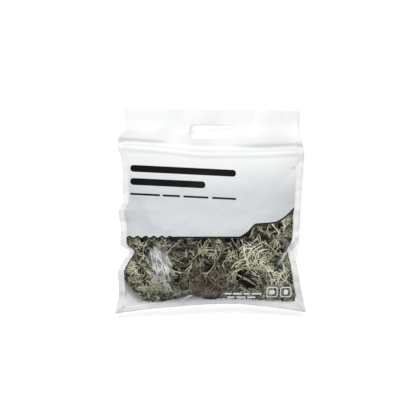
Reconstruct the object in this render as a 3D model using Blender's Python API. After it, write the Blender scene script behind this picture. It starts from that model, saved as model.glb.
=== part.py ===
"""A press-to-close bag of dried tree lichen, lying on its back: the solids at their real size.

The bag is two cut films welded along both sides and the foot. Between them sit the two halves of
the press-to-close strip, ten tufts of lichen and four bare twigs. A hand slot is punched through
both films above the strip. Metres, +Z up. +X runs across the bag, +Y from its foot to its top edge
and +Z out of its front. The origin is under the middle of the bag, on the surface that it lies on.
"""

import math

import bpy
import numpy as np
from mathutils import Vector, noise
from mathutils.bvhtree import BVHTree

# ---------------------------------------------------------------- driving dimensions
FILM = 0.0006  # thickness of each film
CONTACT_GAP = 0.0003  # between faces that touch
SEAL = 0.010  # width of the welded margins at the sides and the foot

FRONT_RISE = 0.039  # how far the front film stands above the seam over the fill
BACK_DROP = 0.060  # how steeply the back film falls from the seam, until it lies flat
SEAM_LIFT = 0.021  # height of the side seams beside the fill
HEADER_HEIGHT = 0.009  # height of the empty top of the bag
RIPPLE = 0.0055  # height of the ripples in the top edge

SLOT_CENTRE = (0.0035, 0.125)
SLOT_LENGTH = 0.075
SLOT_WIDTH = 0.0205

STRIP_LIFT = 0.00175  # from the strip's middle to the inside of each film
STRIP_REACH = 0.011  # how far above and below the strip the films stand apart
STRIP_END = 0.014  # from a side edge to the end of the strip

TUFT_GAP = 0.0010  # between neighbouring tufts
FILM_CLEARANCE = 0.0014  # between a tuft or a twig and the films

# Plan of the bag. Sides are (y, x), from the foot up; the foot, strip and top are (x, y).
LEFT_SIDE = [
    (-0.1660, -0.1525), (-0.1280, -0.1460), (-0.1000, -0.1475), (-0.0790, -0.1375),
    (-0.0660, -0.1300), (-0.0540, -0.1435), (-0.0300, -0.1425), (-0.0030, -0.1470),
    (0.0160, -0.1395), (0.0800, -0.1415), (0.1045, -0.1485), (0.1180, -0.1465),
    (0.1310, -0.1350), (0.1660, -0.1388),
]  # fmt: skip
RIGHT_SIDE = [
    (-0.1635, 0.1525), (-0.1250, 0.1450), (-0.0900, 0.1385), (-0.0620, 0.1325),
    (-0.0530, 0.1395), (0.0060, 0.1440), (0.0600, 0.1475), (0.0900, 0.1503),
    (0.1080, 0.1470), (0.1310, 0.1418), (0.1600, 0.1434),
]  # fmt: skip
FOOT = [(-0.1525, -0.1660), (-0.0840, -0.1568), (0.0310, -0.1500), (0.0950, -0.1550), (0.1525, -0.1635)]
STRIP = [(-0.1485, 0.1045), (-0.0900, 0.1000), (0.0000, 0.0915), (0.0700, 0.0920), (0.1503, 0.0955)]
TOP = [(-0.1388, 0.1660), (0.0000, 0.1625), (0.1434, 0.1600)]

# How full the bag is, from the foot (0) to the strip (1).
FILL = [(0.0, 0.0), (0.04, 0.0), (0.12, 0.55), (0.22, 0.88), (0.34, 1.0), (0.46, 0.93), (0.60, 0.58),
        (0.75, 0.27), (0.90, 0.09), (1.0, 0.0)]  # fmt: skip

# Middle of each tuft's cell.
TUFTS = [
    (-0.108, -0.112, 0.022), (-0.058, -0.122, 0.026), (-0.004, -0.108, 0.029),
    (0.052, -0.118, 0.027), (0.104, -0.112, 0.022), (-0.098, -0.052, 0.024),
    (-0.046, -0.058, 0.030), (0.016, -0.044, 0.030), (0.074, -0.052, 0.029),
    (0.104, -0.012, 0.022),
]  # fmt: skip
TUFT_REACH = (0.040, 0.046, 0.034)  # the furthest that a tuft spreads from its middle

# Each twig: (x, y) of its two ends, its thickness, and how far its middle bends aside.
TWIGS = [
    ((0.0440, -0.1035), (0.0725, -0.1195), 0.0056, 0.001),
    ((-0.062, -0.084), (-0.010, -0.080), 0.0044, -0.005),
    ((-0.036, -0.124), (0.018, -0.110), 0.0052, 0.003),
    ((-0.120, -0.088), (-0.084, -0.064), 0.0040, 0.003),
]

COLOURS = {
    "film": (0.86, 0.87, 0.88),
    "strip": (0.90, 0.91, 0.91),
    "lichen": (0.34, 0.36, 0.28),
    "bark": (0.30, 0.23, 0.15),
}


# ---------------------------------------------------------------- helpers
def smooth_through(points):
    """A smooth function through (at, value) points: a cubic between each two, level at every turn."""
    at = np.array([p[0] for p in points])
    value = np.array([p[1] for p in points])
    rise = np.diff(value) / np.diff(at)
    slope = np.zeros(len(at))
    same_way = rise[:-1] * rise[1:] > 0
    inner = 2 * rise[:-1] * rise[1:] / np.where(same_way, rise[:-1] + rise[1:], 1)
    slope[1:-1] = np.where(same_way, inner, 0)
    slope[0], slope[-1] = rise[0], rise[-1]

    def curve(x):
        x = min(max(x, at[0]), at[-1])
        i = min(int(np.searchsorted(at, x, side="right")) - 1, len(at) - 2)
        width = at[i + 1] - at[i]
        t = (x - at[i]) / width
        return float(
            value[i] * (1 + 2 * t) * (1 - t) ** 2
            + slope[i] * width * t * (1 - t) ** 2
            + value[i + 1] * t * t * (3 - 2 * t)
            + slope[i + 1] * width * t * t * (t - 1)
        )

    return curve


def ease(x):
    """0 below 0, 1 above 1, and smooth between."""
    x = min(max(x, 0.0), 1.0)
    return x * x * (3 - 2 * x)


def material(name):
    """The plain material of that name, made once."""
    made = bpy.data.materials.get(name)
    if made is None:
        made = bpy.data.materials.new(name)
        made.use_nodes = True
        shader = made.node_tree.nodes["Principled BSDF"]
        shader.inputs["Base Color"].default_value = (*COLOURS[name], 1.0)
        shader.inputs["Roughness"].default_value = 0.35 if name in ("film", "strip") else 0.85
        shader.inputs["Metallic"].default_value = 0.0
    return made


def add_object(name, points, faces, finish):
    """A smooth-shaded mesh object made from points and faces."""
    mesh = bpy.data.meshes.new(name)
    mesh.from_pydata([tuple(p) for p in points], [], faces)
    mesh.validate()
    mesh.materials.append(material(finish))
    mesh.shade_smooth()
    obj = bpy.data.objects.new(name, mesh)
    bpy.context.scene.collection.objects.link(obj)
    return obj


# ---------------------------------------------------------------- the bag's shape
left_x, right_x = smooth_through(LEFT_SIDE), smooth_through(RIGHT_SIDE)
foot_y, strip_y, top_y = smooth_through(FOOT), smooth_through(STRIP), smooth_through(TOP)
fullness = smooth_through(FILL)


def plan_point(across, up):
    """(x, y) at a share across, 0 to 1, and up: 0 at the foot, 1 at the strip, 2 at the top."""
    x = -0.15 + 0.30 * across
    for _ in range(3):
        if up <= 1:
            low, high, share = foot_y(x), strip_y(x), up
        else:
            low, high, share = strip_y(x), top_y(x), up - 1
        y = low + (high - low) * share
        x = left_x(y) + (right_x(y) - left_x(y)) * across
    return x, y


def seam_height(across, up):
    """Height of the plane in which the two films meet."""
    middle = 1 - (2 * across - 1) ** 2
    if up <= 1:
        foot = 0.006 + 0.008 * middle
        beside_fill = foot + (SEAM_LIFT - foot) * ease(up / 0.25)
        return beside_fill + (HEADER_HEIGHT - beside_fill) * ease((up - 0.45) / 0.55)
    grown = ease((up - 1) / 0.8)
    wave = math.sin(2 * math.pi * (2.6 * across + 0.12)) + 0.5 * math.sin(2 * math.pi * (4.3 * across + 0.4))
    return HEADER_HEIGHT + RIPPLE * grown * (0.35 + 0.65 * wave)


def inside_seals(across, up):
    """0 in the welded margins, 1 well inside, rising as a taut film does."""
    x, y = plan_point(across, up)
    half = (right_x(y) - left_x(y)) / 2 - SEAL
    off_middle = min(abs(across - 0.5) * (half + SEAL) * 2 / half, 1.0)
    return (1 - off_middle**2.3) ** 0.75


def strip_bulge(up):
    """How far the films stand apart for the press-to-close strip."""
    away = abs(up - 1) * (0.25 if up < 1 else 0.068)
    return (STRIP_LIFT - CONTACT_GAP / 2) * ease((STRIP_REACH - away) / (STRIP_REACH - 0.0062))


def strip_share(across):
    """1 along the strip and 0 in the side margins, where the strip ends."""
    edge = min(across, 1 - across) * 0.30
    return ease((edge - 0.0085) / (STRIP_END - 0.0035 - 0.0085))


def lumps(x, y):
    """The fill pushes the front film up in soft lumps."""
    return 0.5 + 0.5 * noise.noise(Vector((x / 0.034 + 3.1, y / 0.034, 0.7)))


def front_inside(across, up):
    """A point on the inner face of the front film."""
    x, y = plan_point(across, up)
    z = seam_height(across, up) + CONTACT_GAP / 2
    z += strip_bulge(up) * strip_share(across)
    if up < 1:
        full = fullness(up) * inside_seals(across, up)
        z += FRONT_RISE * full * (0.90 + 0.14 * lumps(x, y))
    return x, y, z


def back_inside(across, up):
    """A point on the inner face of the back film, which lies flat under the fill."""
    x, y = plan_point(across, up)
    z = seam_height(across, up) - CONTACT_GAP / 2
    z -= strip_bulge(up) * strip_share(across)
    if up < 1:
        z -= BACK_DROP * fullness(up) * inside_seals(across, up)
    return x, y, max(z, FILM)


FILM_COLUMNS = 22
FILM_ROWS = (18, 6)  # below the strip, and above it


def stations(count, low, high, must):
    """Even shares from low to high, with those in must in place of the ones too near to them."""
    even = np.linspace(low, high, count + 1)
    near = 0.45 * (high - low) / count
    kept = [s for s in even if s in (low, high) or min(abs(s - m) for m in must) > near]
    return np.array(sorted([*kept, *must]))


def film_columns():
    margin = SEAL / 0.30
    return stations(FILM_COLUMNS, 0, 1, (margin, 2 * margin, 1 - 2 * margin, 1 - margin))


def film_grid(inside):
    """(points, triangles) of one film's inner face, facing up."""
    across = film_columns()
    flat, reach = 0.0062, STRIP_REACH
    below = stations(FILM_ROWS[0], 0, 1, (0.04, 1 - reach / 0.25, 1 - flat / 0.25))
    above = stations(FILM_ROWS[1], 1, 2, (1 + flat / 0.068, 1 + reach / 0.068))
    up = np.concatenate([below, above[1:]])
    points = [inside(a, u) for u in up for a in across]
    wide = len(across)
    triangles = []
    for row in range(len(up) - 1):
        for column in range(wide - 1):
            corner = row * wide + column
            opposite = corner + wide + 1
            triangles += [(corner, corner + 1, opposite), (corner, opposite, corner + wide)]
    return points, triangles


def film(name, inside, outward_up):
    """One cut film: its inner face, thickened outwards by a Solidify modifier."""
    points, triangles = film_grid(inside)
    obj = add_object(name, points, triangles if outward_up else [t[::-1] for t in triangles], "film")
    thicken = obj.modifiers.new("thickness", "SOLIDIFY")
    thicken.thickness = FILM
    thicken.offset = 1.0
    return obj


# ---------------------------------------------------------------- hand slot
def slot_cutter():
    """A round-ended prism through both films, where the hand slot is punched."""
    radius = SLOT_WIDTH / 2
    straight = SLOT_LENGTH / 2 - radius
    arc = 8
    outline = []
    for side in (1, -1):
        for i in range(arc + 1):
            angle = -math.pi / 2 + math.pi * i / arc + (0 if side > 0 else math.pi)
            outline.append(
                (
                    SLOT_CENTRE[0] + side * straight + radius * math.cos(angle),
                    SLOT_CENTRE[1] + radius * math.sin(angle),
                )
            )
    low, high = -0.02, 0.05
    points = [(x, y, low) for x, y in outline] + [(x, y, high) for x, y in outline]
    n = len(outline)
    sides = [(i, (i + 1) % n, n + (i + 1) % n, n + i) for i in range(n)]
    cutter = add_object("slot_cutter", points, [tuple(range(n))[::-1], tuple(range(n, 2 * n)), *sides], "film")
    cutter.hide_render = True
    cutter.display_type = "WIRE"
    return cutter


def punch(obj, cutter):
    cut = obj.modifiers.new("hand slot", "BOOLEAN")
    cut.operation = "DIFFERENCE"
    cut.object = cutter
    cut.solver = "EXACT"


# ---------------------------------------------------------------- press-to-close strip
# Sections across the strip as (along the bag, height), anticlockwise seen from the left side.
RIDGE_SECTION = [
    (-0.0050, 0.00145), (-0.0050, 0.00095), (-0.0004, 0.00095), (-0.0006, -0.00025),
    (0.0006, -0.00025), (0.0004, 0.00095), (0.0050, 0.00095), (0.0050, 0.00145),
]  # fmt: skip
GROOVE_SECTION = [
    (-0.0050, -0.00145), (0.0050, -0.00145), (0.0050, -0.00095), (0.0020, -0.00095),
    (0.0019, 0.00055), (0.0012, 0.00055), (0.0013, -0.00095), (-0.0013, -0.00095),
    (-0.0012, 0.00055), (-0.0019, 0.00055), (-0.0020, -0.00095), (-0.0050, -0.00095),
]  # fmt: skip


def strip_half(name, section):
    """One moulded half of the strip: its section swept from side to side."""
    end = STRIP_END / 0.30
    columns = [end, *(a for a in film_columns() if end < a < 1 - end), 1 - end]
    points = []
    for across in columns:
        x, y = plan_point(across, 1)
        z = seam_height(across, 1)
        points += [(x, y + along, z + height) for along, height in section]
    n = len(section)
    last = (len(columns) - 1) * n
    faces = [tuple(range(n))[::-1], tuple(range(last, last + n))]
    for ring in range(len(columns) - 1):
        for i in range(n):
            a, b = ring * n + i, ring * n + (i + 1) % n
            faces.append((a, b, b + n, a + n))
    return add_object(name, points, faces, "strip")


# ---------------------------------------------------------------- room inside the bag
class Room:
    """The space between the two films, asked by plan position."""

    def __init__(self):
        self.front = self.surface(front_inside)
        self.back = self.surface(back_inside)

    @staticmethod
    def surface(inside):
        return BVHTree.FromPolygons(*film_grid(inside))

    def limits(self, x, y):
        """(lowest, highest) z of a thing inside the bag at this place, or None outside the bag."""
        high = self.front.ray_cast(Vector((x, y, 1.0)), Vector((0, 0, -1)))[0]
        low = self.back.ray_cast(Vector((x, y, -1.0)), Vector((0, 0, 1)))[0]
        if high is None or low is None:
            return None
        return low.z + FILM_CLEARANCE, high.z - FILM_CLEARANCE

    def holds(self, point):
        limits = self.limits(point.x, point.y)
        return limits is not None and limits[0] < point.z < limits[1]


# ---------------------------------------------------------------- twigs
TWIG_RINGS = 12
TWIG_SIDES = 8


def twig_line(room, ends, thickness, bend):
    """Points along a twig that lies just under the front film."""
    start, end = Vector((*ends[0], 0)), Vector((*ends[1], 0))
    aside = Vector((start.y - end.y, end.x - start.x, 0)).normalized()
    line = []
    for i in range(TWIG_RINGS + 1):
        t = i / TWIG_RINGS
        place = start.lerp(end, t) + aside * bend * math.sin(math.pi * t)
        around = [
            room.limits(place.x + 0.7 * thickness * dx, place.y + 0.7 * thickness * dy)[1]
            for dx, dy in ((0, 0), (1, 0), (-1, 0), (0, 1), (0, -1))
        ]
        place.z = min(around) - 0.62 * thickness - 0.0004
        line.append(place)
    heights = np.array([p.z for p in line])
    settled = np.minimum(heights, np.convolve(np.pad(heights, 2, "edge"), np.ones(5) / 5, "valid"))
    for place, z in zip(line, settled):
        place.z = float(z)
    return line


def twig_radius(thickness, t):
    """A twig thins towards its tip and has a knot or two."""
    knot = 0.16 * math.exp(-(((t - 0.32) / 0.05) ** 2)) + 0.10 * math.exp(-(((t - 0.7) / 0.04) ** 2))
    return thickness / 2 * (1.0 - 0.30 * t + knot)


def twig(name, line, thickness):
    """A broken-off stick: a tapered, slightly crooked tube."""
    points = []
    for i, place in enumerate(line):
        ahead = (line[min(i + 1, TWIG_RINGS)] - line[max(i - 1, 0)]).normalized()
        side = ahead.cross(Vector((0, 0, 1))).normalized()
        above = side.cross(ahead)
        radius = twig_radius(thickness, i / TWIG_RINGS)
        for k in range(TWIG_SIDES):
            angle = 2 * math.pi * k / TWIG_SIDES
            points.append(place + radius * (math.cos(angle) * side + math.sin(angle) * above))
    n = TWIG_SIDES
    faces = [tuple(range(n)), tuple(range(TWIG_RINGS * n, (TWIG_RINGS + 1) * n))[::-1]]
    for ring in range(TWIG_RINGS):
        for k in range(n):
            a, b = ring * n + k, ring * n + (k + 1) % n
            faces.append((a, a + n, b + n, b))
    return add_object(name, points, faces, "bark")


# ---------------------------------------------------------------- lichen tufts
RAY_STEPS = 48


def clear_of_twigs(point, twigs):
    """Whether a point keeps its distance from every twig."""
    for line, thickness in twigs:
        keep = thickness * 0.66 + 0.0022
        if min((point - place).length for place in line) < keep:
            return False
    return True


def tuft(name, middle, others, room, twigs):
    """A lump that reaches the tips of one tuft: it grows from its middle until something stops it."""
    bpy.ops.mesh.primitive_ico_sphere_add(subdivisions=3, radius=1.0)
    obj = bpy.context.active_object
    obj.name = obj.data.name = name
    walls = [((middle + other) / 2, (other - middle).normalized()) for other in others]
    for vertex in obj.data.vertices:
        way = vertex.co.normalized()
        reach = 1 / math.sqrt(sum((way[i] / TUFT_REACH[i]) ** 2 for i in range(3)))
        reach *= 1 + 0.10 * noise.noise(way * 2.1 + middle * 40)
        for foot, normal in walls:
            towards = way.dot(normal)
            if towards > 1e-6:
                reach = min(reach, ((foot - middle).dot(normal) - TUFT_GAP / 2) / towards)
        step = 1
        while step <= RAY_STEPS:
            point = middle + way * (reach * step / RAY_STEPS)
            if not (room.holds(point) and clear_of_twigs(point, twigs)):
                break
            step += 1
        vertex.co = middle + way * (reach * (step - 1) / RAY_STEPS)
    draw_in(obj, middle, room, twigs)
    obj.data.materials.append(material("lichen"))
    obj.data.shade_smooth()


def draw_in(obj, middle, room, twigs):
    """Pulls in the corners of each facet that cuts through a film or a twig, until none does."""
    vertices = obj.data.vertices
    for _ in range(60):
        cutting = set()
        for facet in obj.data.polygons:
            a, b, c = (vertices[i].co for i in facet.vertices)
            tests = ((a + b) / 2, (b + c) / 2, (c + a) / 2, (a + b + c) / 3)
            if not all(room.holds(point) and clear_of_twigs(point, twigs) for point in tests):
                cutting.update(facet.vertices)
        if not cutting:
            return
        for i in cutting:
            vertices[i].co = middle + (vertices[i].co - middle) * 0.95


# ---------------------------------------------------------------- the whole bag
def clear_scene():
    for obj in list(bpy.data.objects):
        bpy.data.objects.remove(obj, do_unlink=True)


def main():
    clear_scene()
    front = film("front_film", front_inside, True)
    back = film("back_film", back_inside, False)
    cutter = slot_cutter()
    punch(front, cutter)
    punch(back, cutter)
    strip_half("strip_ridge", RIDGE_SECTION)
    strip_half("strip_groove", GROOVE_SECTION)

    room = Room()
    twigs = []
    for number, (start, end, thickness, bend) in enumerate(TWIGS, 1):
        line = twig_line(room, (start, end), thickness, bend)
        twig(f"twig_{number:02d}", line, thickness)
        twigs.append((line, thickness))
    middles = [Vector(m) for m in TUFTS]
    for number, middle in enumerate(middles, 1):
        others = [m for m in middles if m is not middle]
        tuft(f"lichen_tuft_{number:02d}", middle, others, room, twigs)


main()
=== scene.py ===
# %% [markdown]
# # A press-to-close bag of dried tree lichen
#
# The bag is two cut films, welded along both sides and the foot. The front is clear at the bottom
# and printed white above a thin dark line, and the back is white all over. It lies on its back,
# packed with dry tree lichen that still has bits of twig and bark in it.
#
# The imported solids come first. They give every place and size that the looks are built around.

# %% Load the solids
import math
from functools import partial, reduce

import bmesh
import bpy
import numpy as np
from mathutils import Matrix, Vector, noise
from mathutils.bvhtree import BVHTree


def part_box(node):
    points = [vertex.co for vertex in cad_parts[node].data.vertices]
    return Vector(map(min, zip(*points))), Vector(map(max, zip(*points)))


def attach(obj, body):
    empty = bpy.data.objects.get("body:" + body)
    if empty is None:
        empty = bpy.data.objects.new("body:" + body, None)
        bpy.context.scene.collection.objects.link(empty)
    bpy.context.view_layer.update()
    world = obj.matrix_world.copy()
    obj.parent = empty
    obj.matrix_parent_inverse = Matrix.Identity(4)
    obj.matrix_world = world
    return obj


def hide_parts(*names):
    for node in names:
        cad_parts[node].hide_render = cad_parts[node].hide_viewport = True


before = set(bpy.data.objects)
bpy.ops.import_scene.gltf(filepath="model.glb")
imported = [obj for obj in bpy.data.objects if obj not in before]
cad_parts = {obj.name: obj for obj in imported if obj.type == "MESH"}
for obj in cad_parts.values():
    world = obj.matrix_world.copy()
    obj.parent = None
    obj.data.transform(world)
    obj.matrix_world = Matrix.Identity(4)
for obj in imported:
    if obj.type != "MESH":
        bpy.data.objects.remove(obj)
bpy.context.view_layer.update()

# %% [markdown]
# ## Camera, floor and light
#
# The bag is seen square on from above. A long lens far away keeps its sides parallel, as a shop's
# picture of a flat thing does. The floor is plain and pale. The film is glossy, so what stands
# above it shows in it: soft panels stand around the bag, and the sky straight above stays dim.

# %% Camera
VIEW_WIDTH = 0.672
CAMERA_HEIGHT = 3.2


def added(operator, **settings):
    """The object that an operator adds, with nothing else selected."""
    bpy.ops.object.select_all(action="DESELECT")
    operator(**settings)
    return bpy.context.active_object


camera = added(bpy.ops.object.camera_add, location=(-0.0005, 0.0, CAMERA_HEIGHT), rotation=(0, 0, 0))
camera.name = "camera"
camera.data.sensor_width = 36.0
camera.data.lens = 36.0 * (CAMERA_HEIGHT - 0.012) / VIEW_WIDTH
camera.data.clip_end = 30.0
bpy.context.scene.camera = camera
bpy.context.scene.view_settings.view_transform = "Standard"
print("lens:", round(camera.data.lens, 1), "mm")


# %% Helpers for materials
def set_or_link(tree, socket, value):
    """Sets a socket to a value, or links another socket to it."""
    if isinstance(value, bpy.types.NodeSocket):
        tree.links.new(value, socket)
    else:
        socket.default_value = value


def put(tree, kind, inputs=None, **settings):
    """Adds a shader node. Its inputs are values, or sockets to link."""
    made = tree.nodes.new("ShaderNode" + kind)
    for key, value in settings.items():
        setattr(made, key, value)
    for key, value in (inputs or {}).items():
        set_or_link(tree, made.inputs[key], value)
    return made


def calc(tree, operation, a, b=0.0, c=0.0):
    """The result of a Math node."""
    made = put(tree, "Math", operation=operation)
    for socket, value in zip(made.inputs, (a, b, c)):
        set_or_link(tree, socket, value)
    return made.outputs[0]


def ramp(tree, value, low, high, start=0.0, end=1.0):
    """value mapped from low..high to start..end, and held there beyond."""
    ends = {"Value": value, "From Min": low, "From Max": high, "To Min": start, "To Max": end}
    return put(tree, "MapRange", ends).outputs["Result"]


def blended(tree, share, a, b):
    """The colours a and b mixed by share, where each is a colour or a socket."""
    made = put(tree, "Mix", data_type="RGBA")
    set_or_link(tree, made.inputs[0], share)
    for socket, value in zip([i for i in made.inputs if i.type == "RGBA"], (a, b)):
        set_or_link(tree, socket, (*value, 1.0) if isinstance(value, tuple) else value)
    return next(o for o in made.outputs if o.type == "RGBA")


def on(tree, *helpers):
    """The helpers with their tree filled in."""
    return [partial(helper, tree) for helper in helpers]


def speckle(tree, place, scale, detail):
    """Noise between 0 and 1 with about `scale` features a metre."""
    return put(tree, "TexNoise", {"Vector": place, "Scale": scale, "Detail": detail}).outputs["Fac"]


def bumped(tree, height, strength, distance):
    """A normal that follows the height, which is at most `distance` metres."""
    inputs = {"Height": height, "Strength": strength, "Distance": distance}
    return put(tree, "Bump", inputs).outputs["Normal"]


def surface(tree, **inputs):
    """A Principled shader."""
    return put(tree, "BsdfPrincipled", {name.replace("_", " "): v for name, v in inputs.items()})


def material(name, shader_of):
    """A material whose surface is the node that shader_of(tree, place) returns."""
    made = bpy.data.materials.new(name)
    made.use_nodes = True
    tree = made.node_tree
    tree.nodes.clear()
    out = put(tree, "OutputMaterial")
    place = put(tree, "TexCoord").outputs["Object"]
    tree.links.new(shader_of(tree, place).outputs[0], out.inputs["Surface"])
    return made


# %% Floor
def floor_shader(tree, place):
    return surface(tree, Base_Color=(0.95, 0.95, 0.95, 1), Roughness=0.9, Specular_IOR_Level=0.0,
                   Emission_Color=(1, 1, 1, 1), Emission_Strength=0.28)


floor = added(bpy.ops.mesh.primitive_plane_add, size=8.0, location=(0, 0, -0.0003))
floor.name = "floor"
floor.data.materials.append(material("floor paint", floor_shader))


# %% Lights
def panel(name, place, size, watts):
    """A soft light panel that faces the bag."""
    aim = Vector((0, 0, 0.02)) - Vector(place)
    turn = aim.to_track_quat("-Z", "Y").to_euler()
    light = added(bpy.ops.object.light_add, type="AREA", location=place, rotation=turn)
    light.name = name
    light.data.shape = "RECTANGLE"
    light.data.size, light.data.size_y = size
    light.data.energy = watts
    light.visible_camera = False


panel("far panel", (0.1, 2.5, 2.1), (2.6, 1.2), 81)
panel("left panel", (-1.15, -0.35, 2.3), (0.6, 1.0), 24)
panel("right panel", (2.0, -0.1, 1.9), (0.5, 1.4), 5)
world = bpy.data.worlds.new("studio")
bpy.context.scene.world = world
world.use_nodes = True
sky_tree = world.node_tree
sky_way = put(sky_tree, "TexCoord").outputs["Generated"]
sky_up = put(sky_tree, "SeparateXYZ", {"Vector": sky_way})
sky_strength = ramp(sky_tree, sky_up.outputs["Z"], 0.30, 0.95, 0.42, 0.08)
sky = sky_tree.nodes["Background"]
sky.inputs["Color"].default_value = (1, 1, 1, 1)
sky_tree.links.new(sky_strength, sky.inputs["Strength"])

# %% [markdown]
# ## The bag's form
#
# A filled pillow bag draws in at its sides: the film has a fixed width, and the bulge uses some of
# it up. So the outline, the height of the seam and the bulge are three smooth functions, much as in
# the solids. A place on a film is given by its share across the bag and its share up it: 0 at the
# foot, 1 at the strip and 2 at the top edge.

# %% Sizes
FLAT_WIDTH = 0.300
FLAT_TO_STRIP = 0.264
FLAT_HEADER = 0.072
FLAT_HEIGHT = FLAT_TO_STRIP + FLAT_HEADER
SEAL = 0.010
FILM = 0.00014
FRONT_RISE, BACK_DROP = 0.039, 0.060
SEAM_LIFT, HEADER_HEIGHT, RIPPLE = 0.021, 0.009, 0.0055
STRIP_LIFT = 0.0016
BODY_RUN, HEADER_RUN = 0.25, 0.068  # From the foot to the strip, and from the strip to the top edge.


def mm(*values):
    """Millimetres, as metres."""
    return tuple(value / 1000 for value in values)


# Outlines in millimetres: (y, x) up each side, and (x, y) along the foot, the strip and the top.
LEFT_SIDE = [
    (-166, -152.5), (-128, -146), (-100, -147.5), (-79, -137.5), (-66, -130), (-54, -143.5),
    (-30, -142.5), (-3, -147), (16, -139.5), (80, -141.5), (104.5, -148.5), (118, -146.5),
    (131, -135), (166, -138.8),
]
RIGHT_SIDE = [
    (-163.5, 152.5), (-125, 145), (-90, 138.5), (-62, 132.5), (-53, 139.5), (6, 144), (60, 147.5),
    (90, 150.3), (108, 147), (131, 141.8), (160, 143.4),
]
FOOT = [(-152.5, -166), (-84, -156.8), (31, -150), (95, -155), (152.5, -163.5)]
STRIP = [(-148.5, 104.5), (-90, 100), (0, 91.5), (70, 92), (150.3, 95.5)]
TOP = [(-138.8, 166), (0, 162.5), (143.4, 160)]
FILL = [(0.0, 0.0), (0.024, 0.0), (0.12, 0.55), (0.22, 0.88), (0.34, 1.0), (0.46, 0.93), (0.60, 0.58),
        (0.75, 0.27), (0.90, 0.09), (1.0, 0.0)]


# %% Smooth curves through points
def smooth_through(points, scale=1000):
    """A smooth function through (at, value) points in 1/scale metres: level at every turn."""
    at, value = np.array(points, float).T / scale
    rise = np.diff(value) / np.diff(at)
    both = rise[:-1] * rise[1:]
    turn = np.where(both > 0, 2 * both / np.where(both > 0, rise[:-1] + rise[1:], 1), 0)
    slope = np.concatenate([[rise[0]], turn, [rise[-1]]])

    def curve(x):
        x = np.clip(x, at[0], at[-1])
        i = np.clip(np.searchsorted(at, x, side="right") - 1, 0, len(at) - 2)
        width = at[i + 1] - at[i]
        t = (x - at[i]) / width
        low = value[i] * (1 + 2 * t) * (1 - t) ** 2 + slope[i] * width * t * (1 - t) ** 2
        high = value[i + 1] * t * t * (3 - 2 * t) + slope[i + 1] * width * t * t * (t - 1)
        return low + high

    return curve


def ease(x):
    """0 to 1, slow at both ends."""
    x = np.clip(x, 0.0, 1.0)
    return x * x * (3 - 2 * x)


left_x, right_x = smooth_through(LEFT_SIDE), smooth_through(RIGHT_SIDE)
foot_y, strip_y, top_y = smooth_through(FOOT), smooth_through(STRIP), smooth_through(TOP)
fullness = smooth_through(FILL, scale=1)


# %% Where a place on the film lies
def plan(across, up):
    """x and y of places on the bag."""
    x = -0.15 + 0.30 * across
    for _ in range(3):
        share = np.where(up <= 1, up, up - 1)
        low = np.where(up <= 1, foot_y(x), strip_y(x))
        high = np.where(up <= 1, strip_y(x), top_y(x))
        y = low + (high - low) * share
        x = left_x(y) + (right_x(y) - left_x(y)) * across
    return x, y


def seam_height(across, up):
    """Height of the line where the two films meet."""
    middle = 1 - (2 * across - 1) ** 2
    foot = 0.006 + 0.008 * middle
    beside = foot + (SEAM_LIFT - foot) * ease(up / 0.25)
    below = beside + (HEADER_HEIGHT - beside) * ease((up - 0.45) / 0.55)
    wave = np.sin(2 * np.pi * (2.6 * across + 0.12)) + 0.5 * np.sin(2 * np.pi * (4.3 * across + 0.4))
    above = HEADER_HEIGHT + RIPPLE * ease((up - 1) / 0.8) * (0.35 + 0.65 * wave)
    return np.where(up <= 1, below, above)


def inside_seals(across, y):
    """How full the bag is across its width: 0 on the seals and 1 in the middle."""
    half = (right_x(y) - left_x(y)) / 2 - SEAL
    off_middle = np.clip(np.abs(across - 0.5) * (half + SEAL) * 2 / half, 0, 1)
    return (1 - off_middle**2.3) ** 0.75


def strip_band(across, up):
    """1 on the strip, where the films stand apart, and 0 away from it."""
    away = np.where(up < 1, (1 - up) * BODY_RUN, (up - 1) * HEADER_RUN)
    edge = np.minimum(across, 1 - across) * FLAT_WIDTH
    return ease((0.0095 - away) / 0.0040) * ease((edge - 0.0085) / 0.002)


# %% [markdown]
# ## Folds
#
# Film does not stretch, so wherever the bag draws in, the film that is left over stands up in small
# sharp folds. They start at a weld and fade out over the fill. Each is a ridge or a valley along a
# short line, with a crisp crest. A few large ones stand where the sides are nipped in.


# %% One fold, and a row of them
def fold(x, y, start, end, width, height, from_edge):
    """Height of a fold along a line. One that comes from an edge is strongest at its start."""
    run = np.array(end) - np.array(start)
    length = float(np.hypot(*run))
    along = ((x - start[0]) * run[0] + (y - start[1]) * run[1]) / length**2
    off = np.abs((x - start[0]) * run[1] - (y - start[1]) * run[0]) / length
    wide = width * (1 + 1.2 * np.clip(along, 0, 1))
    crest = np.exp(-(np.sqrt(off**2 + (0.25 * wide) ** 2) - 0.25 * wide) / wide)
    if from_edge:
        fade = (1 - np.clip(along, 0, 1)) ** 1.5 * (along > -1)
    else:
        fade = np.sin(np.pi * np.clip(along, 0, 1)) ** 0.8
    return height * crest * fade


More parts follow.
